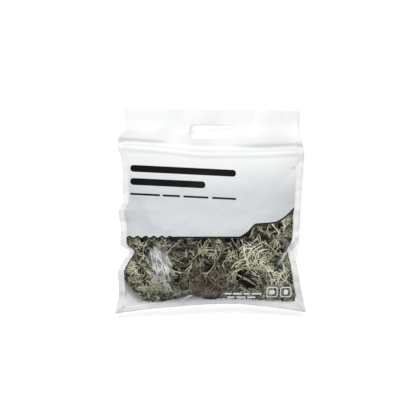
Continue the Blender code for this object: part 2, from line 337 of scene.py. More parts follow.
def weld_folds():
    """(start, end, width, height, from_edge) of the small folds along the sides and the foot."""
    rng = np.random.default_rng(12)
    folds = []

    def add(start, end, tallest, widest):
        height = rng.uniform(tallest[0], tallest[1]) * (-1 if rng.random() < 0.5 else 1)
        folds.append((start, end, rng.uniform(0.0022, widest), height, True))

    for side, sign in ((left_x, 1), (right_x, -1)):
        y = -0.140
        while y < 0.075:
            x = float(side(y))
            length = rng.uniform(0.022, 0.050) * (1 if y < 0.02 else 0.7)
            turn = rng.uniform(-0.45, 0.45)
            end = (x + sign * length * math.cos(turn), y + length * math.sin(turn))
            add((x, y), end, (0.0008, 0.0021), 0.0042)
            y += rng.uniform(0.010, 0.019)
    x = -0.132
    while x < 0.135:
        y = float(foot_y(x))
        length = rng.uniform(0.020, 0.040)
        end = (x + length * rng.uniform(-0.4, 0.4), y + length)
        add((x, y), end, (0.0007, 0.0019), 0.0040)
        x += rng.uniform(0.010, 0.020)
    return folds


WELD_FOLDS = weld_folds()
# Start x and y, end x and y, width and height in millimetres, and whether it is strongest at its start.
BIG_FOLDS_MM = [
    (137, -45, 105, -90, 3.4, 4.8, True), (133, -58, 116, -105, 3.2, -3.4, True),
    (-130, -66, -86, -50, 4, 4, True), (-131, -70, -93, -86, 3.6, -3, True),
    (-130, -62, -100, -26, 3.4, -2.6, True), (-144, -156, -106, -118, 5, 3.6, True),
    (145, -153, 112, -122, 5, 3.4, True), (-115, 20, -116, -42, 8.5, -5, False),
    (-103, 18, -90, -36, 4, 3.2, False), (138, 70, 85, 15, 6, -2.2, True),
    (-33, 166, -35, 124, 5.5, -3.4, True), (-56, 166, -52, 130, 8, 2.4, True),
    (72, 163, 69, 112, 5.5, -3.6, True), (95, 162, 90, 120, 7, 2.4, True),
    (120, 161, 118, 124, 4, -2.4, True),
]
BIG_FOLDS = [(mm(*row[0:2]), mm(*row[2:4]), *mm(*row[4:6]), row[6]) for row in BIG_FOLDS_MM]
print("folds:", len(WELD_FOLDS) + len(BIG_FOLDS))


# %% Heights of both films
def noise_at(x, y, size, seed):
    """Smooth noise between -1 and 1 with features of that size."""
    flat = zip(np.ravel(x) / size, np.ravel(y) / size)
    values = [noise.noise(Vector((a + seed * 7.3, b - seed * 3.1, seed * 1.7))) for a, b in flat]
    return np.array(values).reshape(np.shape(x))


def film_heights(across, up):
    """x, y, and the heights of the front and the back film, for arrays of places."""
    x, y = plan(across, up)
    seam = seam_height(across, up)
    for start, end, width, height, from_edge in WELD_FOLDS + BIG_FOLDS:
        seam = seam + fold(x, y, start, end, width, height, from_edge)
    step = ease((-0.060 - x) / 0.03) + ease((x - 0.020) / 0.05)
    past_strip = np.clip(up - 1, 0, 1) * HEADER_RUN
    seam = seam + 0.0042 * step * ease((past_strip - 0.005) / 0.009) * (1 - ease((past_strip - 0.020) / 0.030))
    below = up < 1
    full = np.where(below, fullness(np.minimum(up, 1)) * inside_seals(across, y), 0)
    band = strip_band(across, up)
    away = np.abs(up - 1) * np.where(up < 1, BODY_RUN, HEADER_RUN)
    ridges = 0.0005 * np.exp(-(((away - 0.0032) / 0.0010) ** 2))
    lumps = 0.5 + 0.5 * noise_at(x, y, 0.034, 0.1)
    small_lumps = noise_at(x, y, 0.013, 1.0)
    front = seam + 0.00012 + (STRIP_LIFT + ridges) * band
    front = front + FRONT_RISE * full * (0.90 + 0.12 * lumps)
    front = front + 0.0011 * small_lumps * np.clip(full * 3, 0, 1)
    front = front + 0.0012 * noise_at(x, y, 0.05, 2.0) * ease((1 - np.abs(up - 1)) * 3)
    pressed = np.exp(-(((x + 0.055) / 0.026) ** 2 + ((y + 0.022) / 0.014) ** 2))
    front = front + 0.0016 * pressed * noise_at(x, y, 0.0075, 3.0)
    back = seam - 0.00012 - STRIP_LIFT * band - BACK_DROP * full
    back = np.maximum(back, 0.00006 + FILM)
    return x, y, np.maximum(front, back + 0.00024), back


# %% [markdown]
# ## The two films
#
# Each film is a sheet, cut flat to 300 by 336 mm. It starts as a flat grid, whose UV map keeps the
# flat cut in metres, and its points are then carried to their places on the filled bag. Welds,
# print and strip are at home on the flat cut, so their patterns read the UV map.


# %% A film from a flat grid
def edit_all(*steps):
    """Runs operators in edit mode, each on the whole of the active mesh."""
    bpy.ops.object.mode_set(mode="EDIT")
    for step in steps:
        bpy.ops.mesh.select_all(action="SELECT")
        step()
    bpy.ops.object.mode_set(mode="OBJECT")


def points_of(mesh):
    co = np.empty(len(mesh.vertices) * 3)
    mesh.vertices.foreach_get("co", co)
    return co.reshape(-1, 3)


def carry(name, columns, rows, which):
    """A flat grid, carried onto the filled bag."""
    obj = added(bpy.ops.mesh.primitive_grid_add, x_subdivisions=columns, y_subdivisions=rows, size=1.0)
    obj.name = obj.data.name = name
    mesh = obj.data
    flat = points_of(mesh)
    across, run = flat[:, 0] + 0.5, (flat[:, 1] + 0.5) * FLAT_HEIGHT
    up = np.where(run <= FLAT_TO_STRIP, run / FLAT_TO_STRIP, 1 + (run - FLAT_TO_STRIP) / FLAT_HEADER)
    x, y, front, back = film_heights(across, up)
    places = np.stack([x, y, front if which == "front" else back], axis=1)
    mesh.vertices.foreach_set("co", places.ravel())
    corner = np.empty(len(mesh.loops), int)
    mesh.loops.foreach_get("vertex_index", corner)
    layer = mesh.uv_layers.active
    layer.name = "flat cut"
    layer.data.foreach_set("uv", np.stack([across * FLAT_WIDTH, run], axis=1)[corner].ravel())
    mesh.update()
    if which == "back":
        edit_all(bpy.ops.mesh.flip_normals)
    bpy.ops.object.shade_smooth()
    return obj


front_film = carry("front_sheet", 136, 152, "front")
back_film = carry("back_sheet", 100, 112, "back")
print("front film:", len(front_film.data.vertices), "points")

# %% [markdown]
# Where the print ends is a line that dips and rises across the bag, with a few small waves at its
# left end where the film is puckered. Each point keeps its distance from that line in an attribute,
# so that the line stays as crisp as the shader can draw it.

# %% The edge of the print
PRINT_EDGE = smooth_through(
    [(-150, -44), (-118, -43.5), (-53, -43), (44, -43), (58, -36), (73, -22.5), (88, -21.4), (102, -20),
     (118, -12), (138, 7), (150, 20)]
)


def above_print_edge(x, y):
    """Distance above the line where the print ends."""
    waves = 0.0016 * np.sin(2 * np.pi * (x + 0.1318) / 0.0130) * ease((-0.050 - x) / 0.02)
    slope = (PRINT_EDGE(x + 0.001) - PRINT_EDGE(x - 0.001)) / 0.002
    return (y - PRINT_EDGE(x) - waves) / np.sqrt(1 + slope**2)


film_points = points_of(front_film.data)
edge_distance = front_film.data.attributes.new("above_print_edge", "FLOAT", "POINT")
edge_distance.data.foreach_set("value", above_print_edge(film_points[:, 0], film_points[:, 1]))
print("print edge runs from", PRINT_EDGE(-0.15), "to", PRINT_EDGE(0.15))

# %% [markdown]
# ## What each film looks like
#
# Clear film lets nearly everything through, adds a little haze, and mirrors more at a slant. Where
# it is printed, it is as white as paint, with a soft gloss, and painted greyer over the fill as shade.
# A weld melts the two films together, so it looks milky. A glare patch and a few crease highlights
# are painted milky white as well. The printed marks are plain bars, dashes and shapes, with no words.


# %% Masks for marks and creases
def length_of(tree, a, b):
    """The length of a line with sides a and b."""
    return calc(tree, "SQRT", calc(tree, "MULTIPLY_ADD", a, a, calc(tree, "MULTIPLY", b, b)))


def box_mask(tree, x, y, centre, size, radius):
    """1 inside a rounded rectangle."""
    c, = on(tree, calc)
    dx, dy = (
        c("SUBTRACT", c("ABSOLUTE", c("SUBTRACT", at, middle)), side / 2 - radius)
        for at, middle, side in ((x, centre[0], size[0]), (y, centre[1], size[1]))
    )
    outside = length_of(tree, c("MAXIMUM", dx, 0.0), c("MAXIMUM", dy, 0.0))
    inner = c("MINIMUM", c("MAXIMUM", dx, dy), 0.0)
    return ramp(tree, c("SUBTRACT", c("ADD", outside, inner), radius), 0.0002, -0.0002)


def any_of(tree, masks):
    """1 where any mask is 1."""
    return reduce(partial(calc, tree, "MAXIMUM"), masks)


def painted_glare_patch(tree, place):
    """Painted glare of the left panel on crumpled film: fine white creases that spread a little as they run down."""
    c, r, node = on(tree, calc, ramp, put)
    inputs = {"Vector": place, "Location": (-0.079, -0.090, 0), "Rotation": (0, 0, 0.30)}
    turned = node("Mapping", inputs, vector_type="TEXTURE")
    spot = node("SeparateXYZ", {"Vector": turned.outputs[0]})
    x, y = spot.outputs["X"], spot.outputs["Y"]
    wide, tall = (c("POWER", c("DIVIDE", c("ABSOLUTE", at), half), 2.0) for at, half in ((x, 0.024), (y, 0.044)))
    blotch = speckle(tree, place, 46.0, 2.0)
    near = r(c("ADD", c("ADD", wide, tall), r(blotch, 0.3, 0.7, -0.35, 0.75)), 1.0, 0.25)
    around = c("ARCTAN2", x, c("ADD", y, -0.075))
    fan = node("CombineXYZ", {"X": c("MULTIPLY", around, 26.0), "Y": c("MULTIPLY", y, 55.0)})
    inputs = {"Vector": fan.outputs[0], "Scale": 1.0, "Detail": 4.0, "Distortion": 0.9}
    creases = node("TexNoise", inputs).outputs["Fac"]
    return c("MULTIPLY", near, r(creases, 0.42, 0.66, 0.04, 0.78))


def crease_mask(tree, x, y, start, end, half_width):
    """1 along the line from start to end, fading out at half_width from it."""
    c, r = on(tree, calc, ramp)
    run = (end[0] - start[0], end[1] - start[1])
    squared = math.hypot(*run) ** 2
    dx, dy = c("SUBTRACT", x, start[0]), c("SUBTRACT", y, start[1])
    share = c("MULTIPLY_ADD", dy, run[1] / squared, c("MULTIPLY", dx, run[0] / squared))
    share = r(share, 0.0, 1.0)
    off_x, off_y = (c("SUBTRACT", d, c("MULTIPLY", share, along)) for d, along in ((dx, run[0]), (dy, run[1])))
    away = length_of(tree, off_x, off_y)
    return c("MULTIPLY", r(away, half_width, 0.3 * half_width), r(share, 1.0, 0.6, 0.25, 1.0))


# %% What is printed
# Each mark is (middle, size): two bars and four dashes in black, two lines of small white dashes,
# and two small white frames with a plain shape in each. A crease highlight, painted milky white
# along a sharp crease, is (start, end, half width).
BARS = [(mm(-43.5, 60.5), mm(169, 11)), (mm(-68, 39.5), mm(120, 11))]
DASHES = [(mm(x, 19.5), mm(length, 3.2)) for x, length in ((-104, 48), (-62, 28), (-23, 40), (22, 38))]
UPPER, LOWER = ((28.5, 11), (43, 14), (58, 10), (73.5, 16)), ((33, 12), (49, 15), (65.5, 13))
SMALL_DASHES = [(mm(x, y), mm(length, 2.8)) for y, row in ((-133.5, UPPER), (-139.3, LOWER)) for x, length in row]
FRAMES = [(mm(98.5, -131), mm(9.5, 7.2), 0.0034), (mm(120.5, -131), mm(6.8, 8.5), 0.0030)]
VENT = mm(134, 67)
CREASE_HIGHLIGHTS = [(mm(134.5, -48), mm(109, -86), 0.0030), (mm(115, -85), mm(119, -100), 0.0018),
           (mm(-30, -137), mm(-56, -149), 0.0024), (mm(18, -145), mm(62, -143), 0.0016)]


def ring_mask(tree, x, y, centre, outer, inner):
    """1 between two rounded rectangles, each given as (size, radius)."""
    return calc(tree, "SUBTRACT", *(box_mask(tree, x, y, centre, *edge) for edge in (outer, inner)))


# %% Front film
def front_film_shader(tree, place):
    c, r, mix, node, noisy = on(tree, calc, ramp, blended, put, speckle)
    uv = node("SeparateXYZ", {"Vector": node("UVMap", uv_map="flat cut").outputs["UV"]})
    u, v = uv.outputs["X"], uv.outputs["Y"]
    spot = node("SeparateXYZ", {"Vector": place})
    x, y = spot.outputs["X"], spot.outputs["Y"]
    edge = node("Attribute", attribute_name="above_print_edge").outputs["Fac"]

    # Where there is a weld, print, the dark line and the marks.
    from_side = c("MINIMUM", u, c("SUBTRACT", FLAT_WIDTH, u))
    weld = any_of(tree, [r(from_side, 0.0104, 0.0098), r(v, 0.0074, 0.0068)])
    in_header = r(v, FLAT_TO_STRIP - 0.006, FLAT_TO_STRIP - 0.005)
    inside = c("MAXIMUM", r(from_side, 0.0098, 0.0102), in_header)
    printed = c("MULTIPLY", r(edge, -0.0001, 0.0001), inside)
    line = c("MULTIPLY", r(c("ABSOLUTE", edge), 0.00125, 0.00100), inside)
    slanted = c("MULTIPLY_ADD", x, 0.05, y)
    dark_marks = [box_mask(tree, x, slanted, *bar, 0.0050) for bar in BARS]
    dark_marks += [box_mask(tree, x, slanted, *dash, 0.0012) for dash in DASHES]
    dark = c("MAXIMUM", line, any_of(tree, dark_marks))
    light_marks = [box_mask(tree, x, y, *dash, 0.0010) for dash in SMALL_DASHES]
    for centre, size, radius in FRAMES:
        frame_edges = ((0.0180, 0.0165), 0.0030), ((0.0149, 0.0134), 0.0018)
        light_marks += [ring_mask(tree, x, y, centre, *frame_edges), box_mask(tree, x, y, centre, size, radius)]
    white_marks = any_of(tree, light_marks)
    ink = any_of(tree, [printed, line, white_marks])
    vent = ring_mask(tree, x, y, VENT, ((0.0040, 0.0040), 0.0020), ((0.0024, 0.0024), 0.0012))

    # The print over the fill is painted greyer than over the white back film, and lighter towards the
    # strip: painted shade, with a little of the dark fill showing through the print.
    grain = noisy(place, 38.0, 3.0)
    shaded_print_over_fill = mix(grain, (0.535, 0.560, 0.575), (0.565, 0.590, 0.600))
    over_back = mix(grain, (0.88, 0.89, 0.89), (0.90, 0.905, 0.905))
    white = mix(r(v, 0.190, 0.262), shaded_print_over_fill, over_back)
    white = mix(white_marks, white, (0.97, 0.97, 0.97))
    white = mix(c("MULTIPLY", vent, 0.7), white, (0.16, 0.16, 0.17))
    colour = mix(dark, white, (0.006, 0.006, 0.007))
    bump = bumped(tree, noisy(place, 130.0, 3.0), 0.25, 0.0008)
    paint = surface(tree, Base_Color=colour, Roughness=0.36, Specular_IOR_Level=0.05, Normal=bump)

    # Clear film: nearly all of the light goes through, and a slanted view mirrors more.
    through = node("BsdfTransparent", {"Color": (0.995, 0.995, 0.995, 1)})
    mirror = node("BsdfGlossy", {"Color": (1, 1, 1, 1), "Roughness": 0.15, "Normal": bump})
    facing = node("LayerWeight", {"Blend": 0.5, "Normal": bump}).outputs["Facing"]
    slant = c("MULTIPLY_ADD", c("POWER", facing, 5.0), 0.70, 0.003)
    clear = node("MixShader", {0: slant, 1: through.outputs[0], 2: mirror.outputs[0]})

    # Milky places: the welds, a painted glare patch and painted highlights along a few sharp creases.
    haze = node("BsdfDiffuse", {"Color": (0.96, 0.96, 0.96, 1)})
    sway = c("MULTIPLY_ADD", noisy(place, 90.0, 2.0), 0.005, -0.0025)
    near_x, near_y = c("ADD", x, sway), c("SUBTRACT", y, sway)
    # Painted highlights along a few sharp creases.
    crease_highlights = any_of(tree, [crease_mask(tree, near_x, near_y, *crease) for crease in CREASE_HIGHLIGHTS])
    cloud = r(noisy(place, 24.0, 4.0), 0.45, 0.80, 0.0, 0.005)
    milk = any_of(
        tree, [cloud, c("MULTIPLY", weld, 0.66), painted_glare_patch(tree, place), c("MULTIPLY", crease_highlights, 0.45)]
    )
    hazy = node("MixShader", {0: milk, 1: clear.outputs[0], 2: haze.outputs[0]})
    return node("MixShader", {0: ink, 1: hazy.outputs[0], 2: paint.outputs[0]})


front_film.data.materials.append(material("front film", front_film_shader))


# %% Back film
def make_white_film(name, colour):
    def shader(tree, place):
        tint = blended(tree, speckle(tree, place, 38.0, 3.0), tuple(0.97 * c for c in colour), colour)
        bump = bumped(tree, speckle(tree, place, 140.0, 2.0), 0.12, 0.0006)
        return surface(tree, Base_Color=tint, Roughness=0.36, IOR=1.48, Normal=bump)

    return material(name, shader)


back_film.data.materials.append(make_white_film("white film", (0.90, 0.905, 0.91)))
for node_name in ("strip_ridge", "strip_groove"):
    strip_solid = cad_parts[node_name]
    strip_solid.data.materials.clear()
    strip_solid.data.materials.append(make_white_film(node_name + " plastic", (0.84, 0.85, 0.85)))

# %% [markdown]
# ## Thickness and the hand slot
#
# The real film is about a tenth of a millimetre thick. A Solidify modifier gives it that, and then
# a round-ended punch cuts the hand slot through both films at once, as in the factory.

# %% Thicken and punch
SLOT_CENTRE, SLOT_LENGTH, SLOT_WIDTH = (0.0035, 0.125), 0.075, 0.0205


def take(obj):
    """Selects this object alone."""
    bpy.ops.object.select_all(action="DESELECT")
    obj.select_set(True)
    bpy.context.view_layer.objects.active = obj


def apply_all(obj):
    take(obj)
    for modifier in list(obj.modifiers):
        bpy.ops.object.modifier_apply(modifier=modifier.name)


def slot_punch():
    """A round-ended punch, pulled out sideways from a cylinder."""
    place = (*SLOT_CENTRE, 0.02)
    punch = added(bpy.ops.mesh.primitive_cylinder_add, vertices=64, radius=SLOT_WIDTH / 2, depth=0.08, location=place)
    bpy.ops.object.transform_apply(location=True)
    stretch = SLOT_LENGTH / 2 - SLOT_WIDTH / 2
    for vertex in punch.data.vertices:
        vertex.co.x += stretch if vertex.co.x > SLOT_CENTRE[0] else -stretch
    return punch


punch = slot_punch()
for film_piece in (front_film, back_film):
    thicken = film_piece.modifiers.new("thickness", "SOLIDIFY")
    thicken.thickness = FILM
    thicken.offset = 1.0
    cut = film_piece.modifiers.new("hand slot", "BOOLEAN")
    cut.operation = "DIFFERENCE"
    cut.object = punch
    cut.solver = "EXACT"
    apply_all(film_piece)
    print(film_piece.name, "has", len(film_piece.data.polygons), "faces")
bpy.data.objects.remove(punch)

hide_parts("front_film")
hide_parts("back_film")
for film_piece in (front_film, back_film):
    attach(film_piece, "root")

# %% [markdown]
# ## The room inside
#
# The lichen is packed against the film, so each of its points has to know how high the front film
# is above it and the back film below it. Rays dropped on a fine grid give two height maps, and the
# height at any place is then read between four grid points.

# %% Height maps
GRID_STEP = 0.0015
GRID_X = np.arange(-0.156, 0.1561, GRID_STEP)
GRID_Y = np.arange(-0.170, 0.1101, GRID_STEP)


def height_map(obj, from_above):
    """Heights of a film at the grid points, and nan beside it."""
    points = [v.co for v in obj.data.vertices]
    tree = BVHTree.FromPolygons(points, [tuple(p.vertices) for p in obj.data.polygons])
    heights = np.full((len(GRID_Y), len(GRID_X)), np.nan)
    start, way = (0.2, Vector((0, 0, -1))) if from_above else (-0.1, Vector((0, 0, 1)))
    for row, y in enumerate(GRID_Y):
        for column, x in enumerate(GRID_X):
            hit = tree.ray_cast(Vector((x, y, start)), way)[0]
            if hit is not None:
                heights[row, column] = hit.z
    return heights


front_map = height_map(front_film, True) - FILM
back_map = height_map(back_film, False) + FILM
outside_bag = np.isnan(front_map) | np.isnan(back_map)
front_map[outside_bag], back_map[outside_bag] = 0.0, 0.0


def read_map(heights, x, y):
    """Heights at any places, read between the grid points."""
    column = np.clip((x - GRID_X[0]) / GRID_STEP, 0, len(GRID_X) - 1.001)
    row = np.clip((y - GRID_Y[0]) / GRID_STEP, 0, len(GRID_Y) - 1.001)
    c, r = column.astype(int), row.astype(int)
    fc, fr = column - c, row - r
    near = heights[r, c] * (1 - fc) + heights[r, c + 1] * fc
    far = heights[r + 1, c] * (1 - fc) + heights[r + 1, c + 1] * fc
    return near * (1 - fr) + far * fr


# The fill doesn't reach the foot everywhere: the left corner and a few folds beside it are empty.
FILL_FOOT = smooth_through(
    [(-142, -110), (-133, -117), (-122, -133), (-110, -145.5), (-82, -149.2), (-60, -144),
     (-45, -138.5), (-31, -136.5), (-14, -141.5), (2, -146.5), (45, -144.5), (90, -145), (142, -147.5)]
)
room_map = front_map - back_map
room_map[GRID_Y[:, None] < FILL_FOOT(GRID_X)[None, :]] = 0.0
print("deepest fill:", round(float(room_map.max()) * 1000, 1), "mm")

# %% [markdown]
# ## The lichen's fronds
#
# This lichen is all straps: each forks in two, and each half forks again, down to short paired tips.
# A frond is grown as a skeleton, by extruding one point after another. The Skin modifier wraps it in
# a square tube that stands on edge, and the tube is pressed flat into a strap with a soft ridge. A
# few large, curly and small fronds are enough, because each copy is bent in its own way.


# %% Grow one frond
RIDGE_TURN, STRAP_FLATNESS, TIP_WIDTH = math.pi / 4, 0.60, 0.45


def extrude_from(mesh, index, shift):
    """Extrudes one point of the skeleton, and returns the new point's number."""
    edit = bmesh.from_edit_mesh(mesh)
    edit.verts.ensure_lookup_table()
    for vertex in edit.verts:
        vertex.select = vertex.index == index
    edit.select_flush_mode()
    bpy.ops.mesh.extrude_vertices_move(TRANSFORM_OT_translate={"value": shift})
    return len(bmesh.from_edit_mesh(mesh).verts) - 1


def turn_over(angle):
    """Turns the mesh being edited about its own length. With no window, rotate goes the other way."""
    bpy.ops.mesh.select_all(action="SELECT")
    bpy.ops.transform.rotate(value=-angle, orient_axis="X", center_override=(0, 0, 0))


def grow_frond(name, seed, levels, reach, width, long_levels):
    """A flat frond that starts at the origin and grows along +X."""
    rng = np.random.default_rng(seed)
    obj = added(bpy.ops.mesh.primitive_plane_add, size=0.001, location=(0, 0, 0))
    obj.name = obj.data.name = name
    bpy.ops.object.mode_set(mode="EDIT")
    bpy.ops.mesh.merge(type="CENTER")
    tips = [(0, 0.0)]
    widths = {0: width}
    for level in range(levels):
        next_tips = []
        for index, heading in tips:
            for way in (-1, 1) if level else (0,):
                at, turn = index, heading + way * rng.uniform(0.32, 0.62)
                steps = (3 if level < 2 else 2) if level < long_levels else 1
                for step in range(steps):
                    length = reach * 0.36 * 0.82**level / steps * rng.uniform(0.75, 1.25)
                    turn += rng.normal(0, 0.34) - way * 0.10
                    at = extrude_from(obj.data, at, (length * math.cos(turn), length * math.sin(turn), 0))
                    fine = (level + (step + 1) / steps) / levels
                    widths[at] = width * (1 - 0.40 * fine) * (TIP_WIDTH if fine == 1 else 1)
                next_tips.append((at, turn))
        tips = next_tips
    turn_over(RIDGE_TURN)
    bpy.ops.object.mode_set(mode="OBJECT")
    skin = obj.modifiers.new("strap", "SKIN")
    skin.branch_smoothing = 0.15
    for index, data in enumerate(obj.data.skin_vertices[0].data):
        radius = widths[index] / 2
        data.radius = (radius, radius)
        data.use_root = index == 0
    bpy.ops.object.modifier_apply(modifier=skin.name)
    # Where three straps meet at a sharp angle, the Skin modifier can leave a face out.
    edit_all(
        partial(turn_over, -RIDGE_TURN),
        partial(bpy.ops.transform.resize, value=(1, 1, STRAP_FLATNESS), center_override=(0, 0, 0)),
        bpy.ops.mesh.delete_loose,
        partial(bpy.ops.mesh.fill_holes, sides=0),
        partial(bpy.ops.mesh.normals_make_consistent, inside=False),
    )
    return obj


def as_arrays(obj):
    """(points, how far each faces up, corners of each face) of a mesh, and removes the object."""
    points = points_of(obj.data)
    facing_up = np.array([v.normal.z for v in obj.data.vertices])
    faces = [tuple(p.vertices) for p in obj.data.polygons]
    bpy.data.objects.remove(obj)
    return points, facing_up, faces


def grow_fronds(kind, count, seed, *shape):
    """Fronds of one kind, as arrays. shape is levels, reach, width and long_levels of grow_frond."""
    made = [as_arrays(grow_frond(f"{kind}_frond_{i}", seed + i, *shape)) for i in range(count)]
    print(f"faces of a {kind} frond:", [len(faces) for _, _, faces in made])
    return made


large_fronds = grow_fronds("large", 16, 100, 4, 0.038, 0.0018, 4)
small_fronds = grow_fronds("small", 12, 200, 3, 0.026, 0.0018, 1)
curly_fronds = grow_fronds("curly", 10, 300, 3, 0.026, 0.0018, 3)

# %% [markdown]
# ## Packing the fronds
#
# Fronds lie in loose swirls, as they settle when a bag is filled, and the ones on top are pressed
# flat against the film. Each copy gets a place, a heading that follows a slow swirl, a bend along
# its length and a curl up or down. Its height is then counted down from the film above it, so that
# it follows the bag's curve and never comes through. Which tuft it belongs to depends on its place.

# %% Where fronds go
rng = np.random.default_rng(5)
TUFTS = sorted(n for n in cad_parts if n.startswith("lichen_tuft"))
tuft_middles = np.array([[(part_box(n)[0][i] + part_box(n)[1][i]) / 2 for i in range(2)] for n in TUFTS])
DRAWS = 4096


def scatter(count, keep):
    """Places inside the bag, where keep(x, y, room) says how likely a place is to stay."""
    found = []
    while len(found) < count:
        x, y = rng.uniform(-0.145, 0.145, DRAWS), rng.uniform(-0.160, 0.045, DRAWS)
        room = read_map(room_map, x, y)
        stays = rng.random(DRAWS) < keep(x, y, room)
        found += list(zip(x[stays], y[stays]))
    return np.array(found[:count])


def swirl(x, y):
    """Heading of the fronds at a place, in radians."""
    return 3.4 * noise_at(x, y, 0.055, 4.0) + 1.6 * noise_at(x, y, 0.024, 5.0) - 0.9


def seen(x, y, room):
    """Where deep fronds lie: everywhere under the clear film, and a few behind the print."""
    below_edge = above_print_edge(x, y) < 0.004
    return np.where(room > 0.002, np.where(below_edge, 1.0, 0.06), 0.0)


HOLLOWS = [(-0.002, -0.089, 0.013), (0.038, -0.096, 0.009), (-0.118, -0.052, 0.010), (-0.052, -0.108, 0.010)]


def in_clumps(x, y, room):
    """Where the fronds on top lie: in clumps, with dark hollows between them."""
    clump = ease((noise_at(x, y, 0.017, 11.0) + 0.50) / 0.42)
    for hollow_x, hollow_y, radius in HOLLOWS:
        clump = clump * (1 - np.exp(-((np.hypot(x - hollow_x, y - hollow_y) / radius) ** 2)))
    return seen(x, y, room) * (0.12 + 0.88 * np.maximum(clump, bright_fan(x, y)))


def at_the_edge(x, y, room):
    """Where the fill thins out beside the seals and at the foot."""
    thin = (room < 0.017) | (y < FILL_FOOT(x) + 0.014)
    return seen(x, y, room) * np.where(thin & (room > 0.0015), 1.0, 0.0)


def bright_fan(x, y):
    """How much a place belongs to the pale fan at the lower right."""
    return np.exp(-(((x - 0.068) / 0.026) ** 2 + ((y + 0.080) / 0.032) ** 2))


def brown_patch(x, y):
    """How much a place belongs to the brown, barky patch low in the middle."""
    low = np.exp(-(((x + 0.004) / 0.042) ** 2 + ((y + 0.122) / 0.026) ** 2))
    return np.clip(low + 0.45 * noise_at(x, y, 0.028, 8.0) - 0.05, 0, 1)


SLIVER_START, SLIVER_RUN = (0.047, -0.1055), (0.022, -0.0125)


def over_sliver(x, y):
    """Whether a place lies over the tan sliver of wood, which nothing covers."""
    dx, dy = x - SLIVER_START[0], y - SLIVER_START[1]
    run_x, run_y = SLIVER_RUN
    along = np.clip((dx * run_x + dy * run_y) / (run_x**2 + run_y**2), 0, 1)
    return np.hypot(dx - run_x * along, dy - run_y * along) < 0.0028


# %% Lay the fronds
BEND_LENGTH, LEAST_DEPTH, OFF_FRONT, OFF_BACK = 0.03, 0.0012, 0.0002, 0.0008


def lay_frond(points, x, y, heading, size, bend, curl, roll, depth, nearest, flip):
    """Points of one frond, bent and curled, counted down from the film over it."""
    over = -1 if flip else 1
    run, side, high = points[:, 0] * size, points[:, 1] * size * over, points[:, 2] * size * over
    turned = bend * run / BEND_LENGTH
    px = x + run * np.cos(heading + turned / 2) - side * np.sin(heading + turned)
    py = y + run * np.sin(heading + turned / 2) + side * np.cos(heading + turned)
    lift = curl * (run / BEND_LENGTH) ** 2 + roll * side + 0.0012 * np.sin(run / 0.0045 + 9 * roll)
    film = read_map(front_map, px, py)
    room = np.maximum(read_map(room_map, px, py), 0.0)
    down = depth - lift
    down = np.maximum(np.where(down < nearest, nearest + 0.12 * (down - nearest), down), LEAST_DEPTH)
    down = np.minimum(down, np.maximum(room - OFF_BACK, 0.0))
    return np.stack([px, py, film - np.maximum(down - high, OFF_FRONT)], axis=1), room, down


def plan_fronds(kinds, count, keep, depths):
    """(tuft, points, faces, tints) of many copies."""
    laid = []
    places = scatter(count, keep)
    owners = ((places[:, None, :] - tuft_middles[None]) ** 2).sum(2).argmin(1)
    headings = swirl(places[:, 0], places[:, 1])
    fans, browns = bright_fan(places[:, 0], places[:, 1]), brown_patch(places[:, 0], places[:, 1])
    for (x, y), owner, heading, fan, brown in zip(places, owners, headings, fans, browns):
        points, facing_up, faces = kinds[rng.integers(len(kinds))]
        loose = 0.55 * (1 - 0.6 * fan)
        turn = heading * (1 - fan) - 1.75 * fan + rng.normal(0, loose) + (math.pi if rng.random() < 0.4 else 0)
        depth = rng.uniform(*depths) * (0.35 if fan > 0.5 and rng.random() < 0.6 else 1)
        nearest = LEAST_DEPTH + 0.45 * depth * rng.random()
        flip = rng.random() < 0.16 * (1 - fan)
        size = rng.uniform(0.8, 1.2)
        for _ in range(14):
            placed, room, down = lay_frond(
                points, x, y, turn, size, rng.normal(0, 1.1), rng.normal(-0.002, 0.004),
                rng.normal(0, 0.28), depth, nearest, flip
            )
            if room.min() > 0.0010 and (depth > 0.006 or not over_sliver(placed[:, 0], placed[:, 1]).any()):
                break
            turn, size = rng.uniform(0, 2 * math.pi), size * 0.94
        else:
            continue
        tip = np.clip(points[:, 0] / points[:, 0].max(), 0, 1)
        # Deeper fronds are painted less pale, as shade. Tips and the pale fan are paler, the brown patch darker, and
        # fronds away from the middle a little paler.
        pale = 0.44 - 0.30 * depth / 0.010 + 0.34 * tip + rng.normal(0, 0.24)
        pale = pale + 0.40 * fan + 0.14 * ease((np.abs(x + 0.012) - 0.03) / 0.05) - 0.03 - 0.30 * brown
        browned = np.full(len(points), brown + rng.normal(0, 0.12))
        # Tint: paleness, brownness, facing away from the top for the painted side shade and the dark underside, and
        # depth for the painted depth shade.
        tints = np.clip(np.stack([pale, browned, 0.9 - facing_up, down / 0.008], axis=1), 0, 1)
        laid.append((owner, placed, faces, tints))
    return laid


fronds = plan_fronds(large_fronds, 230, in_clumps, (0.0010, 0.0024))
fronds += plan_fronds(large_fronds, 170, seen, (0.0026, 0.0046))
fronds += plan_fronds(curly_fronds, 480, at_the_edge, (0.0010, 0.0045))
fronds += plan_fronds(small_fronds, 560, seen, (0.0050, 0.0120))
print("fronds laid:", len(fronds))

# %% [markdown]
# ## The dark bed under the fronds
#
# Deep in the tuft little light gets in, so the bed under the fronds is painted near black: painted
# shade over the old, dead lichen and dust of bark that fill the gaps. Each tuft's solid serves as
# that bed: a copy of it is merged, made finer, pushed down from the film and made rough. The fronds
# of the tuft are then joined to it, so that a tuft is one piece.


# %% The bed of one tuft
BED_IN_SIDE, BED_IN_FOOT = 0.007, 0.009


def copy_of(node_name, cuts, smoothness):
    """(points, faces) of a solid whose loose triangles are joined and made finer."""
    copied = bpy.data.objects.new("finer copy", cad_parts[node_name].data.copy())
    bpy.context.scene.collection.objects.link(copied)
    take(copied)
    edit_all(
        partial(bpy.ops.mesh.remove_doubles, threshold=0.00002),
        partial(bpy.ops.mesh.subdivide, number_cuts=cuts, smoothness=smoothness),
    )
    return as_arrays(copied)


